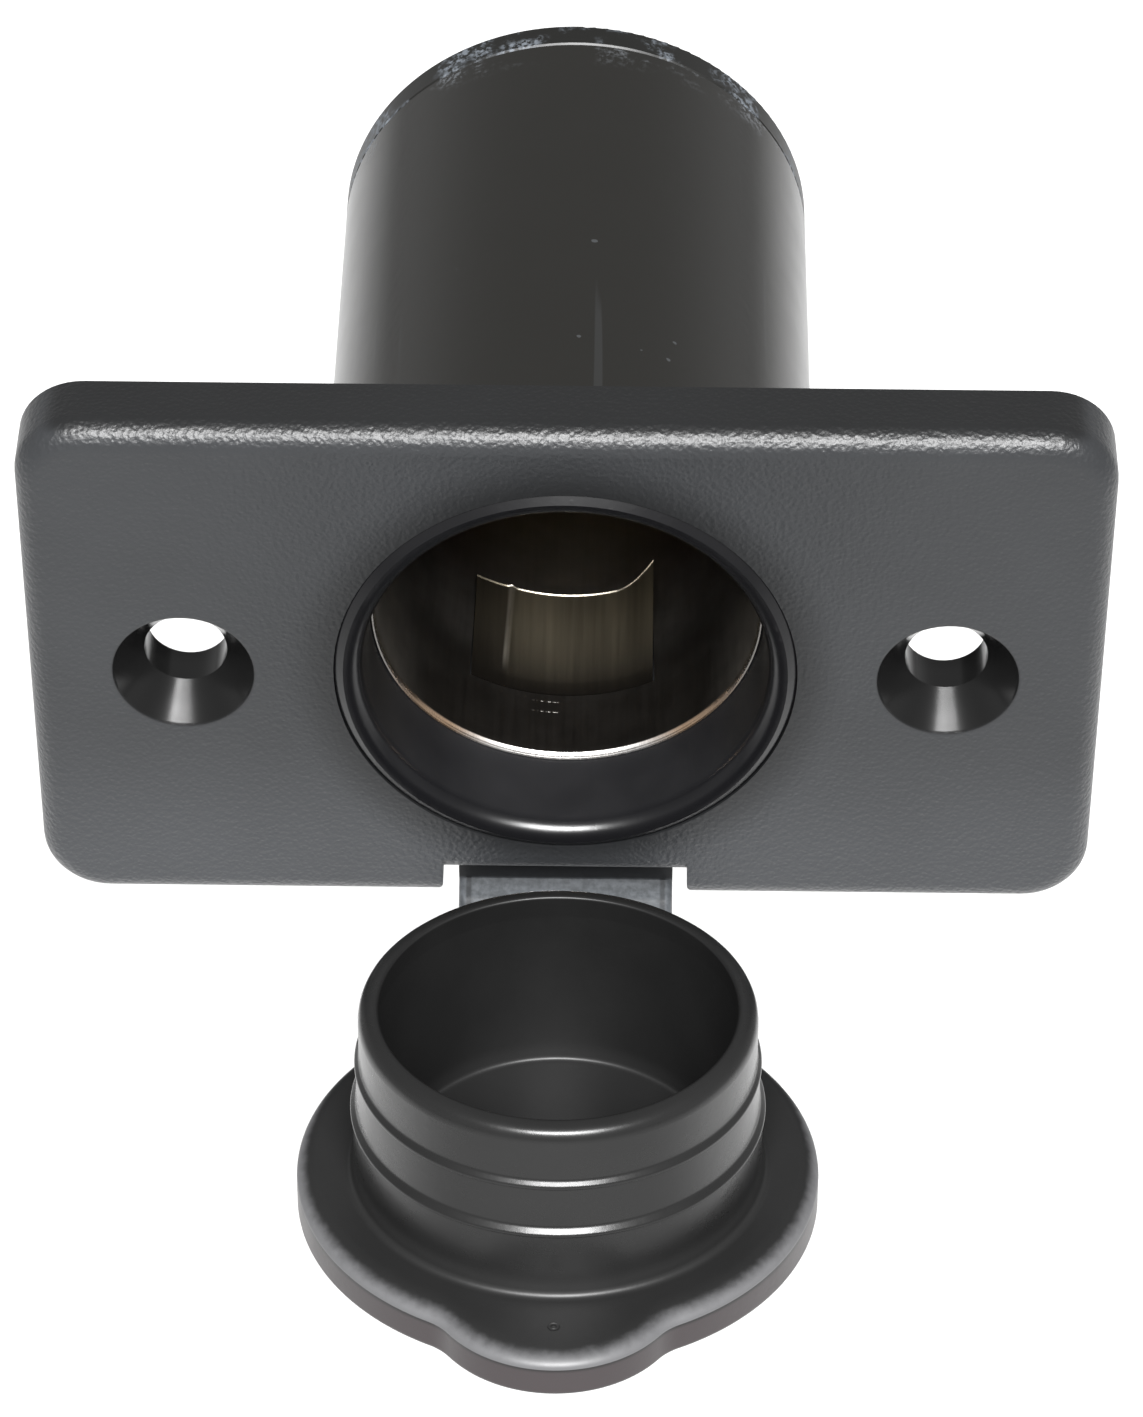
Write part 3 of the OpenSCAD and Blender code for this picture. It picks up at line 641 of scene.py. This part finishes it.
def cap_surface(columns=360):
    """Rows of the sheet, from the outer face's middle to the floor's middle, as open places."""
    angle = np.linspace(-math.pi, math.pi, columns, endpoint=False)
    radius = flange_outline(angle)
    edge_x, edge_z = radius * np.sin(angle), radius * np.cos(angle)
    # The outline's normal is its tangent turned by a quarter
    edge = np.stack([edge_x, edge_z])
    ahead = np.roll(edge, -1, axis=1) - np.roll(edge, 1, axis=1)
    ahead /= np.linalg.norm(ahead, axis=0)
    out_x, out_z = ahead[1], -ahead[0]
    flip = np.sign(out_x * edge_x + out_z * edge_z)
    out_x, out_z = out_x * flip, out_z * flip

    front = (0.5 + 0.5 * np.cos(angle)) ** 0.9
    crown_w, crown_h = 0.40 + 1.35 * front, 0.30 + 0.42 * front
    rim, thick = 0.3, 2.5
    quarter = np.linspace(0.0, math.pi / 2, 7)[:, None]
    finer = np.linspace(0.0, math.pi / 2, 13)[:, None]
    still = np.ones((1, columns))
    # Each block gives how far its rows lie inside the outline, and their height
    inset = np.concatenate([
        5.0 * still, 1.0 * still, (rim + 0.04) * still, rim * (1 - np.sin(quarter)) * still,
        0 * still, 0 * still, crown_w * (1 - np.cos(finer)), crown_w + 0.05 * still])
    height = np.concatenate([
        -thick * still, -thick * still, -thick * still,
        -thick + rim * (1 - np.cos(quarter)) * still, -thick + rim + 0.04 * still,
        -crown_h - 0.04 * still, -crown_h * (1 - np.sin(finer)), 0 * still])
    flange = open_cap(edge_x - inset * out_x, height, edge_z - inset * out_z)

    # From the crown the flange runs in to the plug's foot, flat
    share = np.linspace(0.2, 0.95, 6)[:, None]
    near_x, near_z = edge_x - (crown_w + 0.05) * out_x, edge_z - (crown_w + 0.05) * out_z
    flat = open_cap(
        near_x * (1 - share) + FOOT_START_R * np.sin(angle) * share, 0.0,
        near_z * (1 - share) + FOOT_START_R * np.cos(angle) * share)

    r, h = softened(PLUG_CORNERS, PLUG_RADII).T[:, :, None]
    r = np.concatenate([r, [[6.0], [3.0], [1.0]]])
    h = np.concatenate([h, [[FLOOR_H], [FLOOR_H], [FLOOR_H]]])
    plug = open_cap(r * np.sin(angle), h, r * np.cos(angle))
    # Where the crown is: 1 on its steep outer part, towards the tab, and 0 elsewhere
    share = 1.0 - (inset / crown_w).clip(0.0, 1.0)
    crown = share * (height > -crown_h - 0.01) * ((front - 0.12) / 0.3).clip(0.0, 1.0)
    points = np.concatenate([flange, flat, plug])
    crown = np.concatenate([crown, np.zeros((len(points) - len(flange), columns))])
    return points, crown, (open_cap(0.0, -thick, 0.0), open_cap(0.0, FLOOR_H, 0.0))


cap_points, cap_crown, cap_poles = cap_surface()
print("rows and columns of the cap:", cap_points.shape[:2])

# %% [markdown]
# ## Finish of the cap
#
# The cap's plastic is the barrel's, from a mould with a fine satin. Two marks come from moulding:
# a small ring on the tab where a pin pushed the cap out of its mould, and a dot in the middle of
# the cup's floor where the plastic flowed in. Both are shallow, so they are bump, not mesh.

# %% Finish of the cover cap
cap = Finish("cover cap plastic", IOR=1.40)
flange_mid = open_cap(0.0, 0.0, 0.0) * 1000.0
lean, rise_up = math.sin(OPEN_ANGLE), math.cos(OPEN_ANGLE)
# Height above the flange and distance towards the tab, from the place in the open cap
above = (cap.y - float(flange_mid[1])) * rise_up + (cap.z - float(flange_mid[2])) * lean
to_tab = (cap.z - float(flange_mid[2])) * rise_up - (cap.y - float(flange_mid[1])) * lean
from_pin = (cap.x * cap.x + (to_tab - 13.6) * (to_tab - 13.6)).root()
at_flange = above.rise(-0.4, -0.2) * above.fall(0.3, 0.5)
pin_ring = (from_pin - 0.22).size().fall(0.03, 0.12) * at_flange
from_plug = (cap.x * cap.x + to_tab * to_tab).root()
gate_dot = from_plug.fall(0.35, 0.6) * above.fall(0.6, 0.9)
satin = cap.noise(1.6, 5.0, 0.6)
# How far along the crown a point lies comes with the mesh; towards the tab the crown is painted a
# ragged lighter grey, a painted sheen where it faces the lamp, and made rougher
crown = cap.node("ShaderNodeAttribute", {"attribute_name": "crown"}, output="Fac")
ragged = crown + 0.3 * (cap.noise(1.6, 4.0, 0.6) - 0.5)
crown_rub_and_painted_sheen = ragged.rise(0.40, 1.0) * crown.rise(0.02, 0.2)
inside = from_plug.fall(9.5, 9.9) * above.rise(-0.1, 0.05)
at_foot = from_plug.rise(10.9, 11.0) * above.fall(1.0, 1.6)
# The flange's side below the crown is painted a warmer, lighter grey: painted reflection of the
# floor
side_painted_reflection = above.fall(-1.0, -0.7) * above.rise(-2.4, -2.2)
# The cup's inner wall is painted darker: painted shade in the hollow
inner_wall_painted_shade = inside * above.rise(0.4, 1.5)
body = cap.blend(cap.noise(0.12, 4.0) + 0.2 - 0.6 * inner_wall_painted_shade,
                 (0.0045, 0.0045, 0.0045), (0.010, 0.010, 0.010))
cap.set(
    Base_Color=cap.blend(crown_rub_and_painted_sheen, cap.blend(side_painted_reflection, body, (0.030, 0.025, 0.026)),
                         (0.085, 0.085, 0.088)),
    Roughness=0.22 + 0.08 * cap.noise(0.5, 4.0) + 0.05 * cap.noise(5.0, 2.0) + 0.2 * pin_ring
    + 0.14 * (crown_rub_and_painted_sheen + inside + at_foot).least(1.0))
cap.relief(satin * 0.12 + hairlines(cap, 1.3, 0, 0.66) * 0.03
           - pin_ring * 0.8 + gate_dot * 0.5, 0.06)

print("cap finish:", len(cap.tree.nodes), "nodes")

# %% [markdown]
# The grid becomes the cap's mesh. It carries the crown's place as an attribute, rides on the cap
# and takes the place of the CAD model's cap.

# %% Piece of the cap
cap_mesh = grid_mesh("cover_cap", cap_points, cap_poles)
crown_values = cap_mesh.attributes.new("crown", "FLOAT", "POINT")
crown_values.data.foreach_set("value", np.append(cap_crown.ravel(), [0.0, 0.0]))
cap_piece = place("cover_cap", cap_mesh, cap, "cap", "cap_plastic")
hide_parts("plug_cap")

# %% [markdown]
# ## The strap
#
# Strap, ring and cap are one soft moulding. The ring is clamped behind the plate. In the notch a
# dark band shows: there strap and ring are painted near-black, as painted shadow under the plate.
# Past the crease the strap is a mesh of its own: a section carried along a path.
# The path is the same cubic curve that the CAD model's strap follows. The strap's root thins to
# the web that flexes; it is a second piece.

# %% Finish of the strap and its ring
strap_soft = Finish("strap plastic", IOR=1.38)
speckle = strap_soft.noise(2.2, 4.0, 0.65)
# Above the notch's edge strap and ring are painted near-black: painted shadow under the plate
painted_shadow_under_plate = strap_soft.z.rise(-18.9, -18.6)
hem_line = (strap_soft.x.size() - 5.72).size().fall(0.08, 0.22)
# The strap is a lighter speckled grey than the other black mouldings: painted sheen of its facet
# that faces the lamp
painted_sheen_tone = strap_soft.blend(speckle.rise(0.3, 0.7), (0.036, 0.039, 0.042), (0.064, 0.069, 0.075))
strap_soft.set(
    Base_Color=strap_soft.blend((painted_shadow_under_plate * 0.9 + hem_line * 0.55).least(0.9),
                                painted_sheen_tone, (0.005, 0.005, 0.0055)),
    Roughness=0.34 + 0.10 * speckle)
strap_soft.relief(speckle, 0.012)
dress(strap_soft, "strap_ring", "cap_strap")

# %% [markdown]
# Two functions make the form. `strap_path` gives the middle line, a cubic curve with its four
# control points. `band` lays the rounded section across it, at a right angle to the line.

# %% Path and section of the strap
STRAP_W, STRAP_T, WEB_T, HEM_H, SAG = 12.6, 1.0, 0.45, 0.12, 5.5
CREASE = np.array([-0.5, -18.8])


def strap_path(t):
    """Place (y, z) at t from 0 to 1: a cubic curve that leaves the crease downwards and forwards,
    sags, and climbs to the cap's hinge."""
    span = HINGE[0] - CREASE[0]
    first = CREASE + np.array([span * 0.25, -SAG * 0.7])
    second = CREASE + np.array([span * 0.7, -SAG * 0.45])
    u = 1.0 - t
    weights = np.stack([u ** 3, 3 * u * u * t, 3 * u * t * t, t ** 3], -1)
    return weights @ np.stack([CREASE, first, second, HINGE])


def band(middle, thick, hem_height):
    """A band along the path middle (y, z), thick as given at each of its points. Its section is a
    rounded rectangle, with a narrow hem that stands a little proud near each long edge."""
    ahead = np.gradient(middle, axis=0)
    ahead /= np.linalg.norm(ahead, axis=1)[:, None]
    normal = np.stack([-ahead[:, 1], ahead[:, 0]], -1)
    half = STRAP_W / 2
    x = half * np.sin(np.linspace(-math.pi / 2, math.pi / 2, 60))
    hem = hem_height * np.exp(-((half - 0.55 - np.abs(x)) / 0.3) ** 2)
    round_off = np.sqrt(np.clip(1.0 - ((np.abs(x) - half + 0.4) / 0.4).clip(0.0) ** 2, 0.0, 1.0))
    thick = thick[:, None]
    top = thick / 2 * round_off + hem * round_off * ((thick - 0.7) / 0.3).clip(0.0, 1.0)
    bottom = -thick / 2 * round_off
    ring_x = np.concatenate([x, x[-2:0:-1]])
    ring_h = np.concatenate([top, bottom[:, -2:0:-1]], 1)
    y = middle[:, 0, None] + normal[:, 0, None] * ring_h
    z = middle[:, 1, None] + normal[:, 1, None] * ring_h
    return np.stack([np.broadcast_to(ring_x, y.shape), y, z], -1) * MM


print("strap from", CREASE, "to", HINGE)

# %% [markdown]
# The line is cut in two. From the cut a thin web runs on into the flange, over some 4 mm.

# %% The strap and its web
# The middle line: the curve, then straight on into the flange
t = np.linspace(0.0, 1.0, 120)
s = np.linspace(0.05, 1.0, 24)
ROOT_L = 2.45
root_line = open_cap(0.0, HINGE_H, -HINGE_R + ROOT_L * s)[:, 1:] * 1000.0
line = np.concatenate([strap_path(t), root_line])
rising = np.concatenate([np.minimum(t, 1.0 - t) / 0.1, s * ROOT_L / 0.5])
line_thick = WEB_T + (STRAP_T - WEB_T) * rising.clip(0.0, 1.0)
line_hem = np.concatenate([HEM_H + 0.0 * t, 0.0 * s])[:, None]
line_points = band(line, line_thick, line_hem)

# The row where the web starts, and a row just before the flange
SPLIT, BENT = 102, 125
strap_mesh = grid_mesh("strap", line_points[:SPLIT + 1], capped=True)
strap_mesh.set_sharp_from_angle(angle=math.radians(80.0))
strap = place("strap_band", strap_mesh, strap_soft, None, "strap_plastic")
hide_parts("cap_strap")
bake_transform(strap)

root_mesh = grid_mesh("strap_root", line_points[SPLIT:], capped=True)
root_mesh.set_sharp_from_angle(angle=math.radians(80.0))
root = place("strap_root", root_mesh, strap_soft, None, "strap_plastic")
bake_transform(root)

# %% [markdown]
# ## The contact leaf
#
# The leaf lies in an opening of the sleeve and presses against a plug's side. Its sheet follows
# the sleeve at the root, bends, and runs straight to a tip that stands into the bore. It carries
# a pressed crease near its left edge, which stiffens it, and its right corner curls inwards.

# %% The contact leaf
LEAF_ROOT_Y, LEAF_BEND_Y, LEAF_TIP_Y, SHEET = 6.5, 7.5, 14.5, 0.25
LEAF_TIP_R = 9.9
# The sleeve's wall there: its radius where the bell ends, and how it narrows with y
BELL_R, BELL_END_Y, TAPER = 10.95, 5.9, 0.45 / 10.1


def leaf_surface(rows=60, columns=90):
    """The sheet's inner and outer side, joined round its long edges. v runs from the root to the
    tip and x runs across, from the left edge to the right, both nearly parallel to the axis."""
    v = np.linspace(0.0, 1.0, rows)[:, None]
    y = LEAF_ROOT_Y + (LEAF_TIP_Y - LEAF_ROOT_Y) * v
    share = np.linspace(0.0, 1.0, columns)[None, :]
    sleeve_r = BELL_R - TAPER * (y - BELL_END_Y)
    bend_r = BELL_R - TAPER * (LEAF_BEND_Y - BELL_END_Y)
    run = ((y - LEAF_BEND_Y) / (LEAF_TIP_Y - LEAF_BEND_Y)).clip(0.0, 1.0)
    radius = np.where(y < LEAF_BEND_Y, sleeve_r, bend_r + (LEAF_TIP_R - bend_r) * run)
    left, right = -5.7 + 0.15 * run, 5.0
    x = left + (right - left) * share
    # The crease is a low ridge left of the middle, and the strip beyond it falls away a little
    crease_x = -3.45 - 0.045 * (LEAF_TIP_Y - y)
    free = (run * 3.0).clip(0.0, 1.0)
    ridge = 0.14 * np.exp(-((x - crease_x) / 0.16) ** 2)
    strip = 0.08 * (crease_x - x).clip(0.0)
    curl = 1.5 * run ** 1.5 * ((x - 2.8) / (right - 2.8)).clip(0.0) ** 1.8
    lift = free * (ridge - strip) + curl
    inner = lift - np.sqrt(radius ** 2 - x ** 2)
    outer = lift - np.sqrt((radius + SHEET) ** 2 - x ** 2)
    xs = np.concatenate([x, x[:, ::-1]], 1)
    zs = np.concatenate([inner, outer[:, ::-1]], 1)
    return np.stack([xs, np.broadcast_to(y, xs.shape), zs], -1) * MM


leaf_mesh = grid_mesh("contact_leaf", leaf_surface(), capped=True)
leaf_mesh.set_sharp_from_angle(angle=math.radians(50.0))
leaf = place("side_leaf", leaf_mesh, leaf_metal, "contact_leaf", "spring_bronze")
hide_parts("side_spring")

# %% [markdown]
# The leaf is turned a little to the left in its opening. On its right the sleeve's wall closes up
# to it, with a narrow strip as thick as the sheet, bent round the same axis.

# %% The sleeve's edge beside the leaf
def edge_surface(rows=12, columns=8):
    """A strip of the sleeve's wall: inner side forth and outer side back, at angles from below."""
    along = np.linspace(6.35, 15.25, rows)[:, None]
    forth = np.linspace(27.9, 32.3, columns)
    around = np.radians(np.concatenate([forth, np.linspace(32.3, 27.9, columns)]))[None, :]
    side = np.repeat([0.002, SHEET - 0.002], columns)[None, :]
    radius = BELL_R - TAPER * (along - BELL_END_Y) + side
    return np.stack([radius * np.sin(around), along + 0.0 * radius,
                     -radius * np.cos(around)], -1) * MM


edge_mesh = grid_mesh("sleeve_edge", edge_surface(), capped=True)
edge_mesh.set_sharp_from_angle(angle=math.radians(50.0))
place("sleeve_edge", edge_mesh, sleeve, "socket", "sleeve_nickel")

# %% [markdown]
